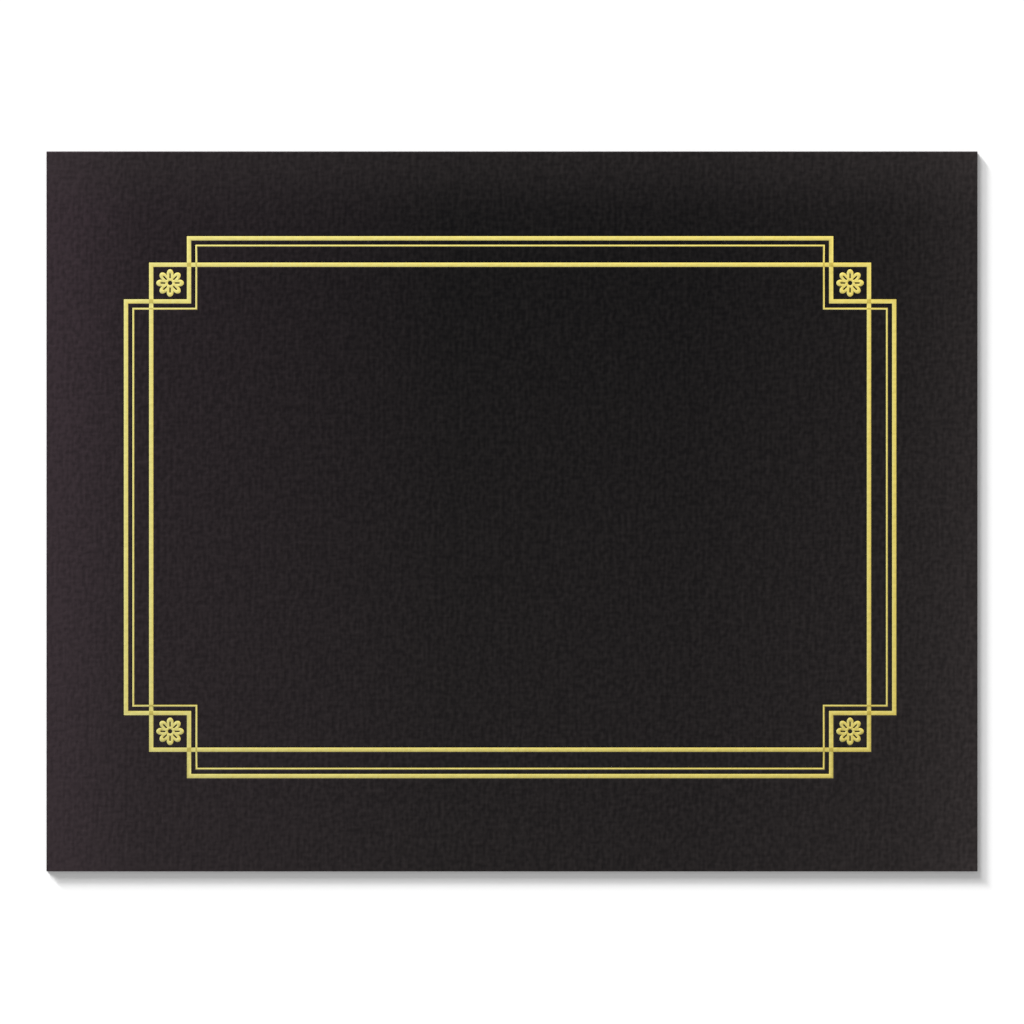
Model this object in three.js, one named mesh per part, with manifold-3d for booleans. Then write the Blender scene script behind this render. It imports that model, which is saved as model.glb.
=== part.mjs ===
// Diploma cover: one sheet of heavy linen-finish card, creased and folded once along its long top
// edge, with a border of gold foil stamped into the front and four slits die-cut through the back
// leaf for the corners of a certificate. It lies closed and flat, with its front up.
//
// Millimetres, +Z up. +X runs to the right along the fold and +Y points to the fold. The origin is
// on the underside, in the middle of the closed cover. The sheet is split where the crease bends
// most, so that the front can open about the crease, and each half of the fold is drawn by itself,
// because a leaf is then a plain flat sheet.

import * as THREE from "three";
import { mergeVertices } from "three/addons/utils/BufferGeometryUtils.js";
import Module from "manifold-3d";

const wasm = await Module();
wasm.setup();

// Certificate that the cover is made to hold, and the card left round it on each leaf
const CERTIFICATE_WIDTH = 279.4; // 11 in
const CERTIFICATE_HEIGHT = 215.9; // 8 1/2 in
const SIDE_MARGIN = 19.05; // on its left and right, which makes the cover 12 1/2 in wide
const FOLD_MARGIN = 14.6; // at the fold, and the same at the free edge

// Card
const CARD_THICKNESS = 0.35; // cover stock of about 280 g/m2
const LEAF_GAP = 0.3; // between the leaves, as the fold holds them when closed
const ARC_STEPS = 8; // facets in each arc, such as a quarter turn of the fold

// Foil border, measured to the middle of each line. The stamp isn't quite centred on the front.
const BORDER_FROM_LEFT = 27.1; // from the left edge of the cover to the outermost line
const BORDER_FROM_RIGHT = 28.4;
const BORDER_FROM_FOLD = 29.7;
const BORDER_FROM_FREE_EDGE = 32.5;
const CORNER_NOTCH = 21.5; // how far the outer lines step in at each corner
const THIN_LINE_INSET = 2.5; // from the outer bold line to the thin line inside it
const INNER_LINE_SIDE_INSET = 8.6; // from the outer bold line to the plain rectangle, along X
const INNER_LINE_END_INSET = 9.0; // and along Y
const BOLD_LINE = 1.45;
const THIN_LINE = 0.6;

// Rosettes, one in each corner square
const ROSETTE_DIAMETER = 9.4;
const ROSETTE_WAIST = 0.62; // radius between two petals, as a share of the tip's radius
const PETALS = 8;
const PETAL_STEPS = 10; // points along one petal
const PETAL_ROUNDNESS = 0.7; // power of the cosine that rounds a petal: lower is blunter
const EYE_DIAMETER = 1.5; // hole in the middle
const VEIN_START = 1.55; // slot along each petal, from the middle
const VEIN_LENGTH = 1.75;
const VEIN_WIDTH = 0.5;
const VEIN_END_STEPS = 4;

// Stamping
const STAMP_DEPTH = 0.08; // how deep the hot die presses the card
const FOIL_THICKNESS = 0.05;
const FOIL_CLEARANCE = 0.04; // between a foil edge and the wall of its recess

// Slits that hold the certificate's corners
const SLIT_SETBACK = 24; // from the certificate's corner to the middle of its slit
const SLIT_OVERRUN = 4; // how far a slit runs on past the certificate's edge
const SLIT_WIDTH = 0.4;
const SLIT_END_STEPS = 6;

// Worked out from the sizes above
const innerFold = LEAF_GAP / 2;
const outerFold = innerFold + CARD_THICKNESS;
const coverWidth = CERTIFICATE_WIDTH + 2 * SIDE_MARGIN;
const coverHeight = CERTIFICATE_HEIGHT + 2 * FOLD_MARGIN + outerFold;
const foldY = coverHeight / 2 - outerFold; // where both leaves stop being flat
const foldZ = outerFold; // height of the plane between the leaves
const freeEdgeY = -coverHeight / 2;
const topZ = 2 * outerFold;
const borderWidth = coverWidth - BORDER_FROM_LEFT - BORDER_FROM_RIGHT;
const borderHeight = coverHeight - BORDER_FROM_FOLD - BORDER_FROM_FREE_EDGE;
const borderX = (BORDER_FROM_LEFT - BORDER_FROM_RIGHT) / 2;
const borderY = (BORDER_FROM_FREE_EDGE - BORDER_FROM_FOLD) / 2;
const foilBottomZ = topZ - STAMP_DEPTH;
const leafMiddleY = (freeEdgeY + foldY) / 2;

const card = new THREE.MeshStandardMaterial({ color: 0x211f20, roughness: 0.8, metalness: 0 });
const foil = new THREE.MeshStandardMaterial({ color: 0xe3cf78, roughness: 0.3, metalness: 1 });

// Solids and geometries

function solidOf(geometry) {
  const bare = geometry.index ? geometry.toNonIndexed() : geometry.clone();
  bare.deleteAttribute("normal");
  bare.deleteAttribute("uv");
  const merged = mergeVertices(bare, 1e-4);
  const mesh = new wasm.Mesh({
    numProp: 3,
    vertProperties: merged.attributes.position.array,
    triVerts: new Uint32Array(merged.index.array),
  });
  return new wasm.Manifold(mesh);
}

function geometryOf(solid) {
  const mesh = solid.getMesh();
  const geometry = new THREE.BufferGeometry();
  geometry.setAttribute("position", new THREE.BufferAttribute(mesh.vertProperties, 3));
  geometry.setIndex(new THREE.BufferAttribute(mesh.triVerts, 1));
  const faceted = geometry.toNonIndexed();
  faceted.computeVertexNormals();
  return faceted;
}

function joined(solids) {
  return solids.reduce((whole, next) => whole.add(next));
}

// A flat outline raised from one height to another.
function raised(shape, fromZ, toZ) {
  const geometry = new THREE.ExtrudeGeometry(shape, {
    depth: toZ - fromZ,
    bevelEnabled: false,
    curveSegments: ARC_STEPS,
  });
  return geometry.translate(0, 0, fromZ);
}

// Leaves and fold

// A flat leaf of card that ends where the fold begins. side is 1 for the front, -1 for the back.
function leaf(side) {
  const length = foldY - freeEdgeY;
  const geometry = new THREE.BoxGeometry(coverWidth, length, CARD_THICKNESS);
  return geometry.translate(0, leafMiddleY, foldZ + side * (innerFold + CARD_THICKNESS / 2));
}

// Half of the fold, which carries on from a leaf: a quarter ring of card, drawn in (y, z) about the
// middle of the turn and run along X.
function halfFold(side) {
  const section = new THREE.Shape();
  section.absarc(0, 0, innerFold, (side * Math.PI) / 2, 0, side > 0);
  section.lineTo(outerFold, 0);
  section.absarc(0, 0, outerFold, 0, (side * Math.PI) / 2, side < 0);
  section.closePath();
  const geometry = new THREE.ExtrudeGeometry(section, {
    depth: coverWidth,
    bevelEnabled: false,
    curveSegments: ARC_STEPS,
  });
  const sectionToPart = new THREE.Matrix4().makeBasis(
    new THREE.Vector3(0, 1, 0),
    new THREE.Vector3(0, 0, 1),
    new THREE.Vector3(1, 0, 0),
  );
  geometry.applyMatrix4(sectionToPart);
  return geometry.translate(-coverWidth / 2, foldY, foldZ);
}

// Foil outlines

// A rectangle whose corners step in by a square notch, about the middle of the border.
function steppedRectangle(path, width, height, notch) {
  const x = width / 2;
  const y = height / 2;
  const corner = notch
    ? [[x, y - notch], [x - notch, y - notch], [x - notch, y]]
    : [[x, y]];
  const mirrored = (sx, sy) => corner.map(([px, py]) => [sx * px, sy * py]);
  const points = [
    ...mirrored(1, 1),
    ...mirrored(-1, 1).reverse(),
    ...mirrored(-1, -1),
    ...mirrored(1, -1).reverse(),
  ];
  return path.setFromPoints(points.map(([px, py]) => new THREE.Vector2(borderX + px, borderY + py)));
}

// A line of foil of some width that runs round a stepped rectangle and meets itself.
function borderLine(sideInset, endInset, notch, lineWidth) {
  const width = borderWidth - 2 * sideInset;
  const height = borderHeight - 2 * endInset;
  const line = steppedRectangle(new THREE.Shape(), width + lineWidth, height + lineWidth, notch);
  line.holes.push(
    steppedRectangle(new THREE.Path(), width - lineWidth, height - lineWidth, notch),
  );
  return line;
}

function flatOutline(shape) {
  const { shape: rim, holes } = shape.extractPoints();
  const loops = [rim, ...holes].map((loop) => loop.map((point) => point.toArray()));
  return new wasm.CrossSection(loops, "EvenOdd");
}

// The three lines cross in the corners, so they are one piece of foil. extra widens them.
function borderSolid(fromZ, toZ, extra) {
  const lines = [
    borderLine(0, 0, CORNER_NOTCH, BOLD_LINE + extra),
    borderLine(THIN_LINE_INSET, THIN_LINE_INSET, CORNER_NOTCH, THIN_LINE + extra),
    borderLine(INNER_LINE_SIDE_INSET, INNER_LINE_END_INSET, 0, BOLD_LINE + extra),
  ];
  const outline = lines.map(flatOutline).reduce((whole, next) => whole.add(next));
  return outline.extrude(toZ - fromZ).translate(0, 0, fromZ);
}

// Petals round a middle, as a radius that follows the angle.
function rosetteOutline(extra) {
  const tip = ROSETTE_DIAMETER / 2;
  const waist = tip * ROSETTE_WAIST;
  const count = PETALS * PETAL_STEPS;
  const points = [];
  for (let i = 0; i < count; i++) {
    const angle = (2 * Math.PI * i) / count;
    const bulge = Math.abs(Math.cos((PETALS * angle) / 2)) ** PETAL_ROUNDNESS;
    const radius = waist + (tip - waist) * bulge + extra;
    points.push(new THREE.Vector2(radius * Math.cos(angle), radius * Math.sin(angle)));
  }
  return new THREE.Shape(points);
}

// A slot with round ends, from (start, 0) outwards, turned by an angle about a centre.
function slot(path, centre, angle, start, length, width, endSteps) {
  const points = [];
  for (const [end, from] of [[start + length, -Math.PI / 2], [start, Math.PI / 2]]) {
    for (let i = 0; i <= endSteps; i++) {
      const turn = from + (Math.PI * i) / endSteps;
      const middle = end === start ? end + width / 2 : end - width / 2;
      const point = new THREE.Vector2(
        middle + (width / 2) * Math.cos(turn),
        (width / 2) * Math.sin(turn),
      );
      points.push(point.rotateAround(new THREE.Vector2(), angle).add(centre));
    }
  }
  return path.setFromPoints(points);
}

function rosetteShape() {
  const shape = rosetteOutline(0);
  const eye = new THREE.Path();
  eye.absarc(0, 0, EYE_DIAMETER / 2, 0, 2 * Math.PI, true);
  shape.holes.push(eye);
  for (let petal = 0; petal < PETALS; petal++) {
    const angle = (2 * Math.PI * petal) / PETALS;
    const middle = new THREE.Vector2();
    shape.holes.push(
      slot(new THREE.Path(), middle, angle, VEIN_START, VEIN_LENGTH, VEIN_WIDTH, VEIN_END_STEPS),
    );
  }
  return shape;
}

// The middle of the square between the notch and the inner line, in each corner of the border.
function rosetteCentres() {
  const x = borderWidth / 2 - (CORNER_NOTCH + INNER_LINE_SIDE_INSET) / 2;
  const y = borderHeight / 2 - (CORNER_NOTCH + INNER_LINE_END_INSET) / 2;
  return {
    top_left: [borderX - x, borderY + y],
    top_right: [borderX + x, borderY + y],
    bottom_left: [borderX - x, borderY - y],
    bottom_right: [borderX + x, borderY - y],
  };
}

// Front cover, with the recess that the die presses under every piece of foil

function frontCover() {
  const above = topZ + STAMP_DEPTH;
  const borderRecess = borderSolid(foilBottomZ, above, 2 * FOIL_CLEARANCE);
  const rosetteRecess = raised(rosetteOutline(FOIL_CLEARANCE), foilBottomZ, above);
  const recesses = Object.values(rosetteCentres()).map(([x, y]) =>
    solidOf(rosetteRecess.clone().translate(x, y, 0)),
  );
  return geometryOf(solidOf(leaf(1)).subtract(joined([borderRecess, ...recesses])));
}

// Back cover, with a slit across each corner of the certificate

function slitShape(sideX, sideY) {
  const corner = new THREE.Vector2(
    (sideX * CERTIFICATE_WIDTH) / 2,
    leafMiddleY + (sideY * CERTIFICATE_HEIGHT) / 2,
  );
  const inwards = new THREE.Vector2(-sideX, -sideY).normalize();
  const middle = corner.addScaledVector(inwards, SLIT_SETBACK);
  const length = 2 * (SLIT_SETBACK + SLIT_OVERRUN);
  const angle = Math.atan2(-sideX, sideY);
  return slot(new THREE.Shape(), middle, angle, -length / 2, length, SLIT_WIDTH, SLIT_END_STEPS);
}

function backCover() {
  const slits = [];
  for (const sideX of [-1, 1]) {
    for (const sideY of [-1, 1]) {
      slits.push(solidOf(raised(slitShape(sideX, sideY), -CARD_THICKNESS, foldZ)));
    }
  }
  return geometryOf(solidOf(leaf(-1)).subtract(joined(slits)));
}

// Assembly

const cover = new THREE.Group();

function addNode(name, geometry, material) {
  const mesh = new THREE.Mesh(geometry, material);
  mesh.name = name;
  cover.add(mesh);
  return mesh;
}

addNode("back_cover", backCover(), card);
addNode("front_cover", frontCover(), card);
addNode("fold_back_half", halfFold(-1), card);
addNode("fold_front_half", halfFold(1), card);

const foilTopZ = foilBottomZ + FOIL_THICKNESS;
addNode("foil_border", geometryOf(borderSolid(foilBottomZ, foilTopZ, 0)), foil);

for (const [corner, [x, y]] of Object.entries(rosetteCentres())) {
  const rosette = raised(rosetteShape(), foilBottomZ, foilTopZ);
  addNode(`foil_rosette_${corner}`, rosette, foil).position.set(x, y, 0);
}

export default cover;
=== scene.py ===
import math

import bpy
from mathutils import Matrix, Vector
from mathutils.geometry import delaunay_2d_cdt


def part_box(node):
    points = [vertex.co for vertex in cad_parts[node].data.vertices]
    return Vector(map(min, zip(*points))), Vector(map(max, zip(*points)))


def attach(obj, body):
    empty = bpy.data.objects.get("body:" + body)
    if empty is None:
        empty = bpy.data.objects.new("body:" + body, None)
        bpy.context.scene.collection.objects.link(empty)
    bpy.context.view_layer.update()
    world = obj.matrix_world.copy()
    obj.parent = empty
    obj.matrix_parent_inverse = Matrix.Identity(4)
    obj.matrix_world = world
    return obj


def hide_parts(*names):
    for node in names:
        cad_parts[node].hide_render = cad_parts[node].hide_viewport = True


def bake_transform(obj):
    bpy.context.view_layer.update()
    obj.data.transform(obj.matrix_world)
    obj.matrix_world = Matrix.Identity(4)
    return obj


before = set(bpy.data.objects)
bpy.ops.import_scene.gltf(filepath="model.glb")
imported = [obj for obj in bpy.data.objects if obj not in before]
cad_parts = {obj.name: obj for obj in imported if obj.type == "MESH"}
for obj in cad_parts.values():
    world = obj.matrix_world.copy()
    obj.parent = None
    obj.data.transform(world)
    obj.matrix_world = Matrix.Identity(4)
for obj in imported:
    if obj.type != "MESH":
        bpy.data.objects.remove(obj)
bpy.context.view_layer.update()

# Diploma cover: a sheet of black linen-embossed card, die-cut, stamped with gold foil and folded
# once. It lies closed on a white table and is seen straight from above.
#
# Sizes are in millimetres and are turned to metres where a mesh is made. The part's frame is
# used throughout: +X along the fold, +Y to the fold, +Z up out of the front.

MM = 0.001


def box_mm(node):
    """Return the lowest and highest corners of a CAD node."""
    low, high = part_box(node)
    return Vector(low) / MM, Vector(high) / MM


leaf_low, leaf_high = box_mm("front_cover")
border_low, border_high = box_mm("foil_border")

# Card
CARD_THICKNESS = 0.35
LEAF_GAP = 0.3  # between the closed leaves
FOLD_STEPS = 24  # round the half turn of the fold
EDGE_ROUNDING = 0.03  # how far a die-cut edge is worn back
EDGE_ROUNDING_WIDTH = 0.07
WELD_DISTANCE = 1e-5  # between outlines that meet on the flat sheet
SMOOTH_BELOW = math.radians(38)  # sharper edges than this stay sharp in the shading

# Foil border, measured to the middle of each line
CORNER_NOTCH = 21.5  # how far a stepped line steps in at a corner
THIN_LINE_INSET = 2.5  # inside the bold line, on every side
INNER_LINE_SIDE_INSET = 8.6  # of the plain rectangle, along X
INNER_LINE_END_INSET = 9.0  # and along Y
BOLD_LINE = 1.45
THIN_LINE = 0.6

# Rosettes
ROSETTE_CORNERS = ("top_left", "top_right", "bottom_left", "bottom_right")
ROSETTE_WAIST = 0.62  # share of the tip's radius
PETALS = 8
PETAL_STEPS = 14  # points on each petal's outline
PETAL_ROUNDNESS = 0.7  # power of the wave that the outline follows: blunter petals below 1
EYE_DIAMETER = 1.5
EYE_STEPS = 32
VEIN_START = 1.55  # from the rosette's centre to the slot along a petal
VEIN_LENGTH = 1.75
VEIN_WIDTH = 0.5
VEIN_STEPS = 16

# Stamping
STAMP_DEPTH = 0.08
STAMP_CLEARANCE = 0.04  # from the foil's edge to the foot of the shoulder
STAMP_SHOULDER = 0.26  # width of the soft shoulder round the foil
SHOULDER_STEPS = 4
SHOULDER_MARGIN = 0.05  # flat card kept at its own level beside a shoulder
GHOST_HEIGHT = 0.04  # how far the stamp shows as a ridge on the inside
FOIL_ROUNDING = 2.5  # power of the curve that lowers the foil towards its edges
FOIL_SIDES = 24  # of the section of a line
FOIL_BEVEL = 0.012  # along a rosette's edges
FOIL_WELD = 0.02  # share of the foil's thickness within which its corners are welded

# Slits for the certificate's corners, in the back leaf
CERTIFICATE_WIDTH = 279.4
CERTIFICATE_HEIGHT = 215.9
SLIT_SETBACK = 24
SLIT_OVERRUN = 4
SLIT_WIDTH = 0.4
SLIT_END_STEPS = 6

# Worked out from the sizes above
inner_fold = LEAF_GAP / 2
fold_radius = inner_fold + CARD_THICKNESS / 2
fold_y = leaf_high.y  # where both leaves stop being flat
fold_z = inner_fold + CARD_THICKNESS
quarter_turn = fold_radius * math.pi / 2
leaf_length = fold_y - leaf_low.y
half_width = (leaf_high.x - leaf_low.x) / 2
half_blank = quarter_turn + leaf_length
border_centre = (border_low + border_high) / 2
border_half = (border_high - border_low) / 2 - Vector((BOLD_LINE, BOLD_LINE, 0)) / 2
foil_bottom = border_low.z
foil_thickness = border_high.z - border_low.z
border_lines = (
    (Vector((0, 0)), CORNER_NOTCH, BOLD_LINE),
    (Vector((THIN_LINE_INSET, THIN_LINE_INSET)), CORNER_NOTCH, THIN_LINE),
    (Vector((INNER_LINE_SIDE_INSET, INNER_LINE_END_INSET)), 0, BOLD_LINE),
)


# Node trees

# The kinds of node that come up most
MATHS = "ShaderNodeMath"
VECTOR = "ShaderNodeVectorMath"
SPLIT = "ShaderNodeSeparateXYZ"
CIRCLE = "GeometryNodeCurvePrimitiveCircle"


def add(tree, kind, inputs=(), **settings):
    """Add a node. inputs are values, sockets or nodes, in order, or by socket name or number."""
    node = tree.nodes.new(kind)
    for name, value in settings.items():
        setattr(node, name, value)
    pairs = inputs.items() if isinstance(inputs, dict) else enumerate(inputs)
    for key, value in pairs:
        if isinstance(value, bpy.types.Node):
            value = value.outputs[0]
        if isinstance(value, bpy.types.NodeSocket):
            tree.links.new(value, node.inputs[key])
        else:
            node.inputs[key].default_value = value
    return node


def shape_tree(name, sizes):
    """Start a Geometry Nodes tree with a named input for each size."""
    tree = bpy.data.node_groups.new(name, "GeometryNodeTree")
    tree.interface.new_socket("Geometry", in_out="INPUT", socket_type="NodeSocketGeometry")
    for size, value in sizes.items():
        kind = "NodeSocketInt" if isinstance(value, int) else "NodeSocketFloat"
        tree.interface.new_socket(size, in_out="INPUT", socket_type=kind)
    tree.interface.new_socket("Geometry", in_out="OUTPUT", socket_type="NodeSocketGeometry")
    return tree, tree.nodes.new("NodeGroupInput").outputs


def end_tree(tree, geometry, material):
    real = add(tree, "GeometryNodeRealizeInstances", {"Geometry": geometry})
    inputs = {"Geometry": real, "Material": material}
    painted = add(tree, "GeometryNodeSetMaterial", inputs)
    add(tree, "NodeGroupOutput", {"Geometry": painted})


def run_tree(piece, tree, sizes):
    modifier = piece.modifiers.new("shape", "NODES")
    modifier.node_group = tree
    for item in tree.interface.items_tree:
        if item.in_out == "INPUT" and item.name in sizes:
            modifier[item.identifier] = sizes[item.name]


def settle(piece):
    """Turn the modifiers' result into the piece's own mesh, with smooth curves and sharp edges."""
    for smoothing in (False, True):
        if smoothing:
            piece.data.shade_smooth()
            piece.data.set_sharp_from_angle(angle=SMOOTH_BELOW)
            weighted = piece.modifiers.new("flat faces stay flat", "WEIGHTED_NORMAL")
            weighted.keep_sharp = True
        graph = bpy.context.evaluated_depsgraph_get()
        mesh = bpy.data.meshes.new_from_object(piece.evaluated_get(graph))
        piece.modifiers.clear()
        piece.data = mesh


def new_piece(name, mesh):
    piece = bpy.data.objects.new(name, mesh)
    bpy.context.scene.collection.objects.link(piece)
    return piece


# Outlines


def stepped_rectangle(inset, notch, outwards=0):
    """A border line's path, moved outwards by some distance, in the part's X and Y."""
    x = border_half.x - inset.x + outwards
    y = border_half.y - inset.y + outwards
    corner = [(x, y - notch), (x - notch, y - notch), (x - notch, y)] if notch else [(x, y)]
    loop = []
    for side_x, side_y in ((1, 1), (-1, 1), (-1, -1), (1, -1)):
        turned = [(side_x * px, side_y * py) for px, py in corner]
        loop += turned if side_x == side_y else turned[::-1]
    return [(border_centre.x + px, border_centre.y + py) for px, py in loop]


def rosette_radius(angle, tip):
    waist = tip * ROSETTE_WAIST
    bulge = abs(math.cos(PETALS * angle / 2)) ** PETAL_ROUNDNESS
    return waist + (tip - waist) * bulge


def rosette_outline(centre, tip, outwards=0):
    count = PETALS * PETAL_STEPS
    loop = []
    for i in range(count):
        angle = 2 * math.pi * i / count
        radius = rosette_radius(angle, tip) + outwards
        loop.append((centre.x + radius * math.cos(angle), centre.y + radius * math.sin(angle)))
    return loop


rosettes = []
for corner in ROSETTE_CORNERS:
    low, high = box_mm("foil_rosette_" + corner)
    rosettes.append(((low + high) / 2, (high.x - low.x) / 2))


# Sheet. It is drawn as its flat blank, outside up, with the fold along v = 0, the front leaf below
# it and the back leaf above. A tree then folds it.


def front_to_blank(loop):
    return [(x, y - fold_y - quarter_turn) for x, y in loop]


def slit_ends():
    """The two ends of each slit, on the blank."""
    middle_of_leaf = quarter_turn + leaf_length / 2
    half_length = SLIT_SETBACK + SLIT_OVERRUN
    ends = []
    for side_x in (-1, 1):
        for side_v in (-1, 1):
            corner = Vector((side_x * CERTIFICATE_WIDTH / 2, side_v * CERTIFICATE_HEIGHT / 2))
            inwards = Vector((-side_x, -side_v)).normalized()
            middle = corner + inwards * SLIT_SETBACK + Vector((0, middle_of_leaf))
            along = Vector((-inwards.y, inwards.x)) * (half_length - SLIT_WIDTH / 2)
            ends.append((middle - along, middle + along))
    return ends


def slot_outline(start, end, radius):
    heading = math.atan2(end.y - start.y, end.x - start.x)
    loop = []
    for tip, turn in ((end, -math.pi / 2), (start, math.pi / 2)):
        for i in range(SLIT_END_STEPS + 1):
            angle = heading + turn + math.pi * i / SLIT_END_STEPS
            loop.append((tip.x + radius * math.cos(angle), tip.y + radius * math.sin(angle)))
    return loop


def distance_to_segment(x, y, start, end):
    point = Vector((x, y)) - start
    line = end - start
    share = max(0, min(1, point.dot(line) / line.length_squared))
    return (point - line * share).length


def square_distance(x, y, path):
    """Distance to a stepped path, measured so that its level lines have square corners."""
    nearest = math.inf
    for (ax, ay), (bx, by) in zip(path, path[1:] + path[:1]):
        along_x = max(min(ax, bx) - x, x - max(ax, bx), 0)
        along_y = max(min(ay, by) - y, y - max(ay, by), 0)
        nearest = min(nearest, max(along_x, along_y))
    return nearest


slits = slit_ends()
line_paths = [(stepped_rectangle(inset, notch), width) for inset, notch, width in border_lines]


def distance_from_foil(x, y):
    """Distance from the nearest edge of foil, negative under the foil, in the part's X and Y."""
    distance = min(square_distance(x, y, path) - width / 2 for path, width in line_paths)
    for centre, tip in rosettes:
        radius = math.hypot(x - centre.x, y - centre.y)
        angle = math.atan2(y - centre.y, x - centre.x)
        distance = min(distance, radius - rosette_radius(angle, tip))
    return distance


def stamped(x, v):
    """How far the die has pressed the blank, from 0 to 1."""
    if v > -quarter_turn:
        return 0
    beyond = distance_from_foil(x, v + fold_y + quarter_turn) - STAMP_CLEARANCE
    share = max(0, min(1, beyond / STAMP_SHOULDER))
    return 1 - share * share * (3 - 2 * share)


def distance_from_cut(x, v):
    distance = min(half_width - abs(x), half_blank - abs(v))
    for start, end in slits:
        distance = min(distance, distance_to_segment(x, v, start, end) - SLIT_WIDTH / 2)
    return distance


def blank_loops():
    """Closed outlines that the blank's triangles have to follow."""
    loops = []
    for back in (0, EDGE_ROUNDING_WIDTH):
        x = half_width - back
        v = half_blank - back
        loops.append([(-x, -v), (x, -v), (x, v), (-x, v)])
    for start, end in slits:
        for back in (0, EDGE_ROUNDING_WIDTH):
            loops.append(slot_outline(start, end, SLIT_WIDTH / 2 + back))
    steps = range(SHOULDER_STEPS + 1)
    rings = [STAMP_CLEARANCE + STAMP_SHOULDER * i / SHOULDER_STEPS for i in steps]
    rings = [rings[0] - SHOULDER_MARGIN] + rings + [rings[-1] + SHOULDER_MARGIN]
    for ring in rings:
        for inset, notch, width in border_lines:
            for side in (-1, 1):
                outwards = side * (width / 2 + ring)
                loops.append(front_to_blank(stepped_rectangle(inset, notch, outwards)))
        for centre, tip in rosettes:
            loops.append(front_to_blank(rosette_outline(centre, tip, ring)))
    return loops


def triangulated_blank():
    """Corners of the blank in mm, and its faces, with the slits left open."""
    points = []
    edges = []
    for loop in blank_loops():
        first = len(points)
        points += [Vector(point) for point in loop]
        edges += [(first + i, first + (i + 1) % len(loop)) for i in range(len(loop))]
    for i in range(FOLD_STEPS + 1):
        v = quarter_turn * (2 * i / FOLD_STEPS - 1)
        edges.append((len(points), len(points) + 1))
        points += [Vector((-half_width, v)), Vector((half_width, v))]
    corners, _, faces, _, _, _ = delaunay_2d_cdt(points, edges, [], 0, WELD_DISTANCE)
    kept = []
    for face in faces:
        middle = sum((corners[i] for i in face), Vector((0, 0))) / len(face)
        if distance_from_cut(middle.x, middle.y) > 0:
            kept.append(face)
    return corners, kept


def blank_mesh():
    """The flat sheet as one closed mesh: outside, inside and every cut edge."""
    corners, faces = triangulated_blank()
    outside = []
    inside = []
    for corner in corners:
        press = stamped(corner.x, corner.y)
        at_cut = distance_from_cut(corner.x, corner.y) < EDGE_ROUNDING_WIDTH / 2
        worn = EDGE_ROUNDING if at_cut else 0
        outside.append((corner.x, corner.y, CARD_THICKNESS / 2 - STAMP_DEPTH * press - worn))
        inside.append((corner.x, corner.y, -CARD_THICKNESS / 2 - GHOST_HEIGHT * press + worn))
    sides = [side for face in faces for side in zip(face, face[1:] + face[:1])]
    used = set(sides)
    count = len(corners)
    walls = [(a, a + count, b + count, b) for a, b in sides if (b, a) not in used]
    under = [[i + count for i in reversed(face)] for face in faces]
    mesh = bpy.data.meshes.new("linen_sheet")
    scaled = [tuple(MM * c for c in point) for point in outside + inside]
    mesh.from_pydata(scaled, [], [list(face) for face in faces] + under + walls)
    blank = mesh.uv_layers.new(name="Blank")
    for loop in mesh.loops:
        x, v, _ = scaled[loop.vertex_index]
        blank.data[loop.index].uv = (x, v)
    return mesh


def fold_tree(sizes, material):
    """Fold a flat sheet about v = 0, so that its back leaf lies under its front leaf."""
    tree, given = shape_tree("fold", sizes)
    place = add(tree, "GeometryNodeInputPosition")
    x, v, height = add(tree, SPLIT, [place]).outputs
    middle_radius = given["Fold radius"]

    # The part of v that lies in the half turn, and the part that lies in a leaf
    turn_end = add(tree, MATHS, (middle_radius, math.pi / 2), operation="MULTIPLY")
    turn_start = add(tree, MATHS, (turn_end, -1.0), operation="MULTIPLY")
    in_turn = add(tree, MATHS, (v, turn_end), operation="MINIMUM")
    in_turn = add(tree, MATHS, (in_turn, turn_start), operation="MAXIMUM")
    past_turn = add(tree, MATHS, (v, in_turn), operation="SUBTRACT")
    past_turn = add(tree, MATHS, [past_turn], operation="ABSOLUTE")

    angle = add(tree, MATHS, (in_turn, middle_radius), operation="DIVIDE")
    radius = add(tree, MATHS, (middle_radius, height), operation="ADD")
    forward = add(tree, MATHS, [angle], operation="COSINE")
    forward = add(tree, MATHS, (radius, forward), operation="MULTIPLY")
    reach = add(tree, MATHS, (forward, past_turn), operation="SUBTRACT")
    rise = add(tree, MATHS, [angle], operation="SINE")
    rise = add(tree, MATHS, (radius, rise), operation="MULTIPLY")
    y = add(tree, MATHS, (given["Fold line"], reach), operation="ADD")
    z = add(tree, MATHS, (given["Fold height"], rise), operation="SUBTRACT")
    folded = add(tree, "ShaderNodeCombineXYZ", (x, y, z))
    inputs = {"Geometry": given["Geometry"], "Position": folded}
    moved = add(tree, "GeometryNodeSetPosition", inputs)
    end_tree(tree, moved, material)
    return tree


def make_sheet(material):
    sheet = new_piece("linen_sheet", blank_mesh())
    sizes = {
        "Fold radius": fold_radius * MM,
        "Fold line": fold_y * MM,
        "Fold height": fold_z * MM,
    }
    run_tree(sheet, fold_tree(sizes, material), sizes)
    settle(sheet)
    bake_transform(sheet)
    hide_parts("back_cover", "front_cover", "fold_back_half", "fold_front_half")


# Foil border


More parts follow.
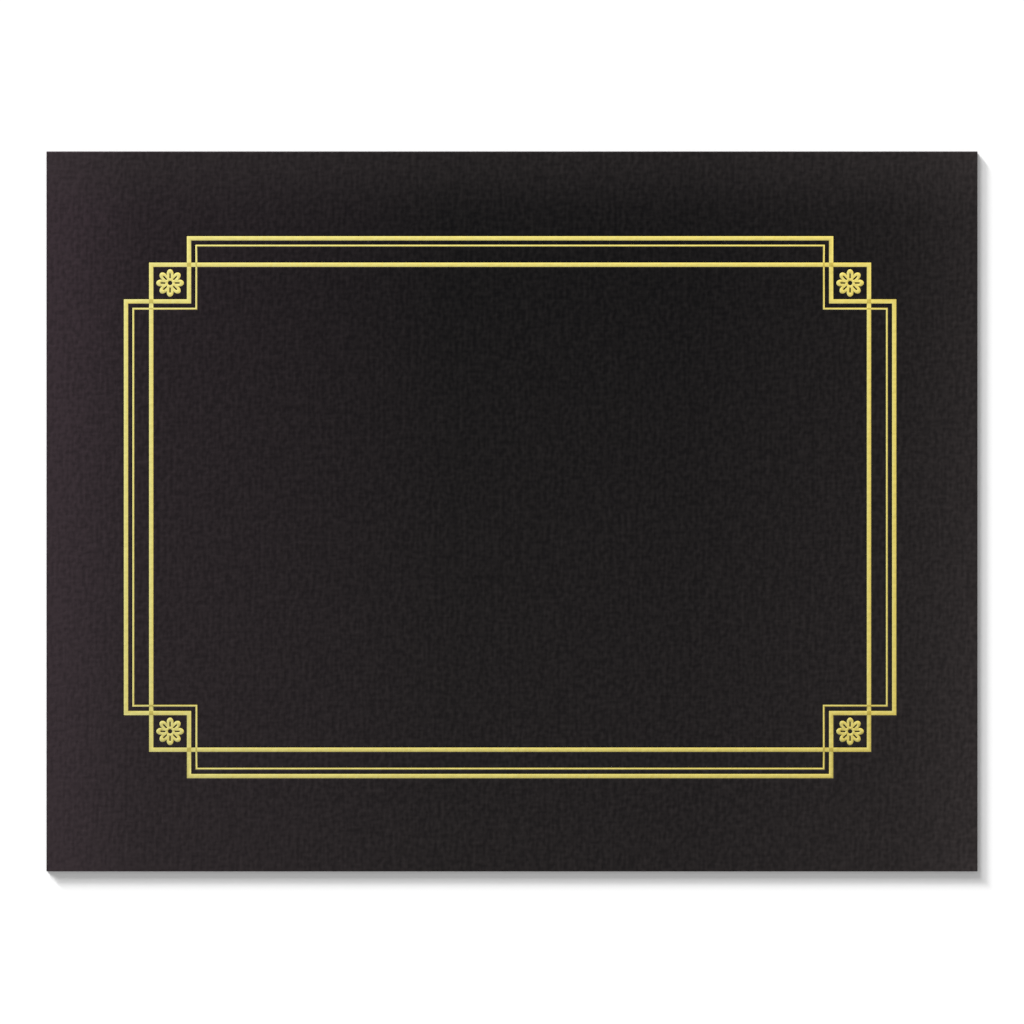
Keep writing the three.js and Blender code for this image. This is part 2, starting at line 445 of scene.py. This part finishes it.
def line_tree(sizes, material):
    """Lay a strip of foil, lower at its edges, along each loop of a path, and join the loops."""
    tree, given = shape_tree("foil_lines", sizes)
    place = add(tree, "GeometryNodeInputPosition")
    x, y, _ = add(tree, SPLIT, [place]).outputs

    # A ring of unit width becomes the strip's section: flat below, and rounded off above.
    ring = add(tree, CIRCLE, {"Resolution": FOIL_SIDES, "Radius": 0.5})
    across = add(tree, MATHS, (x, 2.0), operation="MULTIPLY")
    across = add(tree, MATHS, [across], operation="ABSOLUTE")
    fall = add(tree, MATHS, (across, FOIL_ROUNDING), operation="POWER")
    crown = add(tree, MATHS, (1.0, fall), operation="SUBTRACT")
    above = add(tree, MATHS, (y, 0.0), operation="GREATER_THAN")
    crown = add(tree, MATHS, (crown, above), operation="MULTIPLY")
    lift = add(tree, MATHS, (crown, given["Thickness"]), operation="MULTIPLY")
    inputs = {"Geometry": ring, "Name": "lift", "Value": lift}
    section = add(
        tree, "GeometryNodeStoreNamedAttribute", inputs, data_type="FLOAT", domain="POINT"
    )

    # At a mitre the section stands across the corner, which is sqrt(2) wider than the line.
    path = add(tree, "GeometryNodeMeshToCurve", {"Mesh": given["Geometry"]})
    level = add(tree, "GeometryNodeSetCurveNormal", {"Curve": path}, mode="Z_UP")
    width = add(tree, "GeometryNodeInputNamedAttribute", {"Name": "line_width"})
    width = add(tree, MATHS, (width, math.sqrt(2)), operation="MULTIPLY")
    inputs = {"Curve": level, "Profile Curve": section, "Scale": width}
    strip = add(tree, "GeometryNodeCurveToMesh", inputs)
    lift = add(tree, "GeometryNodeInputNamedAttribute", {"Name": "lift"})
    height = add(tree, MATHS, (given["Bottom"], lift), operation="ADD")
    lifted = add(tree, "ShaderNodeCombineXYZ", (x, y, height))
    laid = add(tree, "GeometryNodeSetPosition", {"Geometry": strip, "Position": lifted})
    inputs = {"Mesh 2": laid, "Self Intersection": True}
    joined = add(tree, "GeometryNodeMeshBoolean", inputs, operation="UNION", solver="EXACT")
    end_tree(tree, joined, material)
    return tree


def make_border(material):
    points = []
    edges = []
    widths = []
    for path, width in line_paths:
        first = len(points)
        points += [(x * MM, y * MM, 0) for x, y in path]
        edges += [(first + i, first + (i + 1) % len(path)) for i in range(len(path))]
        widths += [width * MM] * len(path)
    mesh = bpy.data.meshes.new("foil_border")
    mesh.from_pydata(points, edges, [])
    mesh.attributes.new("line_width", "FLOAT", "POINT").data.foreach_set("value", widths)
    border = new_piece("foil_lines", mesh)
    sizes = {"Thickness": foil_thickness * MM, "Bottom": foil_bottom * MM}
    run_tree(border, line_tree(sizes, material), sizes)
    settle(border)
    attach(border, "front")
    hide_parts("foil_border")


# Rosettes


def rosette_tree(sizes, material):
    """A ring of petals with a slot along each one and a round eye, cut from one piece of foil."""
    tree, given = shape_tree("rosette", sizes)
    place = add(tree, "GeometryNodeInputPosition")
    x, y, _ = add(tree, SPLIT, [place]).outputs
    tip = given["Tip radius"]
    waist = given["Waist radius"]
    petals = given["Petals"]

    # Petals: a ring whose radius follows the angle
    points = add(tree, MATHS, (petals, float(PETAL_STEPS)), operation="MULTIPLY")
    ring = add(tree, CIRCLE, {"Resolution": points, "Radius": 1.0})
    half_petals = add(tree, MATHS, (petals, 2.0), operation="DIVIDE")
    angle = add(tree, MATHS, (y, x), operation="ARCTAN2")
    turn = add(tree, MATHS, (angle, half_petals), operation="MULTIPLY")
    bulge = add(tree, MATHS, [turn], operation="COSINE")
    bulge = add(tree, MATHS, [bulge], operation="ABSOLUTE")
    bulge = add(tree, MATHS, (bulge, PETAL_ROUNDNESS), operation="POWER")
    depth = add(tree, MATHS, (tip, waist), operation="SUBTRACT")
    reach = add(tree, MATHS, (bulge, depth), operation="MULTIPLY")
    radius = add(tree, MATHS, (waist, reach), operation="ADD")
    spot = add(tree, VECTOR, {0: place, "Scale": radius}, operation="SCALE")
    outline = add(tree, "GeometryNodeSetPosition", {"Geometry": ring, "Position": spot})

    # Slots: a small ring pulled apart along X, and laid along each petal
    end_radius = add(tree, MATHS, (given["Vein width"], 2.0), operation="DIVIDE")
    end = add(tree, CIRCLE, {"Resolution": VEIN_STEPS, "Radius": end_radius})
    run = add(tree, MATHS, (given["Vein length"], given["Vein width"]), operation="SUBTRACT")
    half_run = add(tree, MATHS, (run, 2.0), operation="DIVIDE")
    outwards = add(tree, MATHS, (x, 0.0), operation="GREATER_THAN")
    side = add(tree, MATHS, (outwards, 2.0, -1.0), operation="MULTIPLY_ADD")
    pull = add(tree, MATHS, (side, half_run), operation="MULTIPLY")
    pull = add(tree, "ShaderNodeCombineXYZ", [pull])
    vein = add(tree, "GeometryNodeSetPosition", {"Geometry": end, "Offset": pull})
    half_length = add(tree, MATHS, (given["Vein length"], 2.0), operation="DIVIDE")
    middle = add(tree, MATHS, (given["Vein start"], half_length), operation="ADD")
    seats = add(tree, "GeometryNodeMeshCircle", {"Vertices": petals, "Radius": middle})
    heading = add(tree, "FunctionNodeAlignRotationToVector", {"Vector": place}, axis="X")
    inputs = {"Points": seats, "Instance": vein, "Rotation": heading}
    veins = add(tree, "GeometryNodeInstanceOnPoints", inputs)
    cuts = add(tree, "GeometryNodeRealizeInstances", {"Geometry": veins})

    eye = add(tree, CIRCLE, {"Resolution": EYE_STEPS, "Radius": given["Eye radius"]})
    drawn = add(tree, "GeometryNodeJoinGeometry")
    for outlines in (outline, eye, cuts):
        tree.links.new(outlines.outputs[0], drawn.inputs[0])
    flat = add(tree, "GeometryNodeFillCurve", {"Curve": drawn})
    inputs = {"Mesh": flat, "Offset Scale": given["Thickness"], "Individual": False}
    raised = add(tree, "GeometryNodeExtrudeMesh", inputs)
    underside = add(tree, "GeometryNodeFlipFaces", {"Mesh": flat})
    closed = add(tree, "GeometryNodeJoinGeometry")
    for faces in (raised, underside):
        tree.links.new(faces.outputs[0], closed.inputs[0])
    weld = add(tree, MATHS, (given["Thickness"], FOIL_WELD), operation="MULTIPLY")
    welded = add(tree, "GeometryNodeMergeByDistance", {"Geometry": closed, "Distance": weld})
    end_tree(tree, welded, material)
    return tree


def make_rosettes(material):
    tip = rosettes[0][1]
    sizes = {
        "Petals": PETALS,
        "Tip radius": tip * MM,
        "Waist radius": tip * ROSETTE_WAIST * MM,
        "Eye radius": EYE_DIAMETER / 2 * MM,
        "Vein start": VEIN_START * MM,
        "Vein length": VEIN_LENGTH * MM,
        "Vein width": VEIN_WIDTH * MM,
        "Thickness": foil_thickness * MM,
    }
    tree = rosette_tree(sizes, material)
    for corner, (centre, _) in zip(ROSETTE_CORNERS, rosettes):
        rosette = new_piece("rosette_" + corner, bpy.data.meshes.new("rosette_" + corner))
        run_tree(rosette, tree, sizes)
        bevel = rosette.modifiers.new("soft edge", "BEVEL")
        bevel.width = FOIL_BEVEL * MM
        bevel.segments = 2
        bevel.limit_method = "ANGLE"
        settle(rosette)
        place = Vector((centre.x, centre.y, foil_bottom)) * MM
        for vertex in rosette.data.vertices:
            vertex.co += place
        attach(rosette, "front")
        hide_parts("foil_rosette_" + corner)


# Materials


def colour(code):
    """Turn an sRGB colour written as six hex digits into linear light."""
    shares = [int(code[i : i + 2], 16) / 255 for i in (0, 2, 4)]
    return [s / 12.92 if s <= 0.04045 else ((s + 0.055) / 1.055) ** 2.4 for s in shares] + [1.0]


def new_material(name):
    material = bpy.data.materials.new(name)
    material.use_nodes = True
    tree = material.node_tree
    tree.nodes.clear()
    shader = add(tree, "ShaderNodeBsdfPrincipled")
    add(tree, "ShaderNodeOutputMaterial", {"Surface": shader})
    return material, tree, shader


LINEN_LAYERS = (  # size along X and Y in mm, and share of the height
    ((1.2, 14.0), 0.18),  # threads along Y, which run on furthest
    ((1.1, 3.6), 0.26),  # their thicker stretches
    ((3.6, 1.1), 0.17),  # threads along X
    ((1.5, 1.7), 0.39),  # slubs
)
THREAD_DETAIL = 0.5  # of the finer unevenness in each thread
THREAD_ROUGHNESS = 0.5  # share of its height that is finer unevenness
LINEN_RELIEF = 0.12  # mm, from the bottom of a valley to the top of a slub
VALLEY = 0.38  # height below which the card is darkest
CREST = 0.7  # height above which it is greyest


def linen_height(tree, place):
    """Crossed threads as an embossing roller prints them, by place in mm, from 0 low to 1 high.

    Each thread wanders and swells along its length, so it is a noise drawn out along the thread.
    The swellings, called slubs, show most. They are drawn a little coarser than the real ones,
    which are too fine to show from this far.
    """
    height = 0.0
    for (size_x, size_y), share in LINEN_LAYERS:
        stretch = (1 / size_x, 1 / size_y, 1)
        drawn = add(tree, VECTOR, (place, stretch), operation="MULTIPLY")
        inputs = {
            "Vector": drawn,
            "Scale": 1.0,
            "Detail": THREAD_DETAIL,
            "Roughness": THREAD_ROUGHNESS,
        }
        threads = add(tree, "ShaderNodeTexNoise", inputs, noise_dimensions="2D")
        height = add(tree, MATHS, (threads, share, height), operation="MULTIPLY_ADD")
    return height


def emboss(tree, shader, place):
    """Let the threads catch the light, and return their height."""
    height = linen_height(tree, place)
    inputs = {"Height": height, "Strength": 1.0, "Distance": LINEN_RELIEF * MM}
    bump = add(tree, "ShaderNodeBump", inputs)
    tree.links.new(bump.outputs[0], shader.inputs["Normal"])
    return height


# Painted sheen, lighter towards the edges and most on the left, standing in for light from the
# sides, with some rubbing of the dye: the distance in mm from the middle of the width, or from the
# fold, where it starts, the distance where it is full, how much lighter it is there, and how it
# grows
LEFT_SHEEN_AND_WEAR = ((-20.0, -160.0, 0.5, "LINEAR"), (-120.0, -170.0, 0.57, "SMOOTHSTEP"))
RIGHT_SHEEN_AND_WEAR = ((60.0, 160.0, 0.23, "LINEAR"), (125.0, 170.0, 0.24, "SMOOTHSTEP"))
LEAF_SHEEN_AND_WEAR = ((47.0, half_blank, 0.29, "LINEAR"), (25.0, 0.0, 0.29, "SMOOTHSTEP"))
VALLEY_SHEEN_AND_WEAR = 0.79  # share of that painted sheen and wear in the valleys between the threads
CREST_SHEEN_AND_WEAR = 1.37  # and on their crests


def sheened_and_rubbed(tree, before, after, threads, sheen_and_wear_steps):
    """Mix a colour towards a lighter one by distances on the sheet, most on the raised threads:
    painted sheen with some rubbing of the dye.
    """
    total = 0.0
    for distance, (none, full, share, growth) in sheen_and_wear_steps:
        inputs = {"Value": distance, "From Min": none, "From Max": full, "To Max": share}
        part = add(tree, "ShaderNodeMapRange", inputs, interpolation_type=growth)
        total = add(tree, MATHS, (part, total), operation="ADD")
    inputs = {"Value": threads, "To Min": VALLEY_SHEEN_AND_WEAR, "To Max": CREST_SHEEN_AND_WEAR}
    catch = add(tree, "ShaderNodeMapRange", inputs)
    share = add(tree, MATHS, (total, catch), operation="MULTIPLY")
    inputs = {"Factor": share, "A": before, "B": after}
    return add(tree, "ShaderNodeMix", inputs, data_type="RGBA").outputs["Result"]


def linen_card():
    """Cover stock dyed black in the pulp and run through a linen embossing roller.

    A matt, dusty black that turns light only weakly. Its raised threads are the greyest. It is
    painted lighter towards the edges, most on the left with a magenta tint, as painted sheen from
    light at the sides, with a little rubbing of the dye where the cover is handled.
    """
    material, tree, shader = new_material("linen_embossed_card")
    blank = add(tree, "ShaderNodeUVMap", uv_map="Blank")
    place = add(tree, VECTOR, {0: blank, "Scale": 1 / MM}, operation="SCALE")
    height = emboss(tree, shader, place)

    inputs = {"Value": height, "From Min": VALLEY, "From Max": CREST}
    threads = add(tree, "ShaderNodeMapRange", inputs)
    inputs = {"Factor": threads, "A": colour("0e0d0e"), "B": colour("1c1a1a")}
    dye = add(tree, "ShaderNodeMix", inputs, data_type="RGBA").outputs["Result"]
    across, along, _ = add(tree, SPLIT, [place]).outputs
    from_fold = add(tree, MATHS, [along], operation="ABSOLUTE")
    left = [(across, sheen_and_wear_step) for sheen_and_wear_step in LEFT_SHEEN_AND_WEAR]
    other = [(across, sheen_and_wear_step) for sheen_and_wear_step in RIGHT_SHEEN_AND_WEAR] + [(from_fold, sheen_and_wear_step) for sheen_and_wear_step in LEAF_SHEEN_AND_WEAR]
    # Painted sheen: lighter and magenta-grey towards the left edge, lighter grey towards the right
    # edge, the fold and the free edge, standing in for light from the sides, with some rubbing of
    # the dye
    worn = sheened_and_rubbed(tree, dye, colour("362c31"), threads, left)
    worn = sheened_and_rubbed(tree, worn, colour("363131"), threads, other)
    tree.links.new(worn, shader.inputs["Base Color"])
    shader.inputs["Roughness"].default_value = 0.85
    shader.inputs["Specular IOR Level"].default_value = 0.05
    return material


def line_crossings(tree, place):
    """1 in the small squares where a stepped line crosses the plain rectangle, and 0 elsewhere."""
    offset = add(tree, VECTOR, (place, border_centre), operation="SUBTRACT")
    offset = add(tree, VECTOR, [offset], operation="ABSOLUTE")
    x, y, _ = add(tree, SPLIT, [offset]).outputs
    bold, thin, inner = border_lines
    inner_x, inner_y = border_half.xy - inner[0]
    total = 0.0
    for inset, notch, width in (bold, thin):
        step_x, step_y = border_half.xy - inset - Vector((notch, notch))
        for across, step, along, side in ((x, step_x, y, inner_y), (y, step_y, x, inner_x)):
            on_step = add(tree, MATHS, (across, step, width / 2), operation="COMPARE")
            on_side = add(tree, MATHS, (along, side, BOLD_LINE / 2), operation="COMPARE")
            total = add(tree, MATHS, (on_step, on_side, total), operation="MULTIPLY_ADD")
    return total


CROSSING_DULLNESS = 0.7  # share of the duller colour where lines cross


def gold_foil():
    """Hot-stamped gold foil: a bright aluminium film under yellow lacquer, pressed on card.

    It mirrors softly, because the card's threads still show through the film. Where two lines
    cross, it is coloured a darker, more olive gold.
    """
    material, tree, shader = new_material("hot_stamped_foil")
    at = add(tree, "ShaderNodeTexCoord").outputs["Object"]
    place = add(tree, VECTOR, {0: at, "Scale": 1 / MM}, operation="SCALE")
    emboss(tree, shader, place)
    dull = add(tree, MATHS, (line_crossings(tree, place), CROSSING_DULLNESS), operation="MULTIPLY")
    inputs = {"Factor": dull, "A": colour("ecde7e"), "B": colour("c0ad4a")}
    film = add(tree, "ShaderNodeMix", inputs, data_type="RGBA").outputs["Result"]
    tree.links.new(film, shader.inputs["Base Color"])
    shader.inputs["Metallic"].default_value = 1.0
    shader.inputs["Roughness"].default_value = 0.25
    return material


# Studio

FRAME_WIDTH = 349.2  # mm of the cover's plane that the photograph spans
CAMERA_OVER = Vector((0.005, -0.24))  # mm, the point that the camera stands over
SENSOR_WIDTH = 36
LENS = 85
FLOOR_REACH = 3000  # mm, each way from the middle
FLOOR_BELOW = 0.02  # mm, so that the table doesn't touch the card
FLOOR_GLOW = 0.06  # share of its white that the table shows the camera of itself


def make_camera():
    """The camera looks straight down from as far as its lens needs for the photograph's frame."""
    camera = bpy.data.objects.new("camera", bpy.data.cameras.new("camera"))
    bpy.context.scene.collection.objects.link(camera)
    bpy.context.scene.camera = camera
    camera.data.type = "PERSP"
    camera.data.sensor_width = SENSOR_WIDTH
    camera.data.lens = LENS
    height = leaf_high.z + FRAME_WIDTH * LENS / SENSOR_WIDTH
    camera.location = Vector((*CAMERA_OVER, height)) * MM


def make_floor():
    mesh = bpy.data.meshes.new("floor")
    reach = FLOOR_REACH * MM
    level = -FLOOR_BELOW * MM
    sides = ((-1, -1), (1, -1), (1, 1), (-1, 1))
    corners = [(reach * x, reach * y, level) for x, y in sides]
    mesh.from_pydata(corners, [], [(0, 1, 2, 3)])
    floor = new_piece("floor", mesh)
    material, tree, shader = new_material("white_table")
    path = add(tree, "ShaderNodeLightPath").outputs
    seen = path["Is Camera Ray"]
    for ray in ("Is Glossy Ray", "Is Transmission Ray"):
        seen = add(tree, MATHS, (seen, path[ray]), operation="MAXIMUM")
    inputs = {"Factor": seen, "A": colour("e7e7e7"), "B": colour("ffffff")}
    paint = add(tree, "ShaderNodeMix", inputs, data_type="RGBA").outputs["Result"]
    tree.links.new(paint, shader.inputs["Base Color"])
    glow = add(tree, MATHS, (seen, FLOOR_GLOW), operation="MULTIPLY")
    tree.links.new(glow.outputs[0], shader.inputs["Emission Strength"])
    shader.inputs["Emission Color"].default_value = colour("ffffff")
    shader.inputs["Roughness"].default_value = 1.0
    shader.inputs["Specular IOR Level"].default_value = 0.0
    mesh.materials.append(material)


SKY_SHARE = 0.36  # of the light on the table that comes from the white room

# Each lamp has its height and its spread in degrees, its share of the lamps' light, and the way
# it shines, in degrees clockwise from +X.
LAMPS = (
    ("window", 8.2, 7.0, 0.6, 51.5),
    ("wall", 15.0, 14.0, 0.4, 63.0),
)


def make_lights():
    """A low window at the upper left, and the softer wall beside it, cast the shadow."""
    for name, elevation, spread, share, turn in LAMPS:
        lamp = bpy.data.lights.new(name, "SUN")
        lamp.angle = math.radians(spread)
        tilt = math.radians(elevation)
        lamp.energy = share * (1 - SKY_SHARE) * math.pi / math.sin(tilt)
        source = bpy.data.objects.new(name, lamp)
        bpy.context.scene.collection.objects.link(source)
        way = math.radians(turn)
        level = Vector((math.cos(way), -math.sin(way), 0)) * math.cos(tilt)
        heading = level - Vector((0, 0, math.sin(tilt)))
        source.rotation_euler = heading.to_track_quat("-Z", "Y").to_euler()


# What metal mirrors: directions are parts of a unit vector, and walls are shares of plain white.
WINDOW_SIDE = (-0.45, 0.89, 0.0)
TINT_REACH = 0.25
SHADE_REACH = 0.5
WINDOW_WALL = 1.6
FAR_WALL = 0.4


def make_room():
    """A white room: it lights the cover evenly, and metal and the camera see it as white.

    For metal, its left is cooler than its right, and the side away from the window is darker.
    """
    world = bpy.data.worlds.new("room")
    bpy.context.scene.world = world
    world.use_nodes = True
    tree = world.node_tree
    tree.nodes.clear()
    path = add(tree, "ShaderNodeLightPath").outputs
    seen = path["Is Camera Ray"]
    rays = (path["Is Glossy Ray"], path["Is Transmission Ray"])
    mirrored = add(tree, MATHS, rays, operation="MAXIMUM")

    heading = add(tree, "ShaderNodeTexCoord").outputs["Generated"]
    rightwards = add(tree, SPLIT, [heading]).outputs["X"]
    inputs = {"Value": rightwards, "From Min": -TINT_REACH, "From Max": TINT_REACH}
    side = add(tree, "ShaderNodeMapRange", inputs)
    inputs = {"Factor": side, "A": colour("dfe6ff"), "B": colour("fff6dc")}
    walls = add(tree, "ShaderNodeMix", inputs, data_type="RGBA").outputs["Result"]
    inputs = {"Factor": mirrored, "A": colour("ffffff"), "B": walls}
    tint = add(tree, "ShaderNodeMix", inputs, data_type="RGBA").outputs["Result"]

    inputs = (heading, WINDOW_SIDE)
    windowwards = add(tree, VECTOR, inputs, operation="DOT_PRODUCT").outputs["Value"]
    inputs = {
        "Value": windowwards,
        "From Min": -SHADE_REACH,
        "From Max": SHADE_REACH,
        "To Min": FAR_WALL,
        "To Max": WINDOW_WALL,
    }
    shade = add(tree, "ShaderNodeMapRange", inputs)
    inputs = {"Factor": mirrored, "A": SKY_SHARE, "B": shade}
    strength = add(tree, "ShaderNodeMix", inputs)
    strength = add(tree, "ShaderNodeMix", {"Factor": seen, "A": strength, "B": 1.0})
    sky = add(tree, "ShaderNodeBackground", {"Color": tint, "Strength": strength})
    add(tree, "ShaderNodeOutputWorld", {"Surface": sky})


bpy.context.scene.view_settings.view_transform = "Standard"
make_camera()
make_floor()
make_lights()
make_room()
make_sheet(linen_card())
foil = gold_foil()
make_border(foil)
make_rosettes(foil)
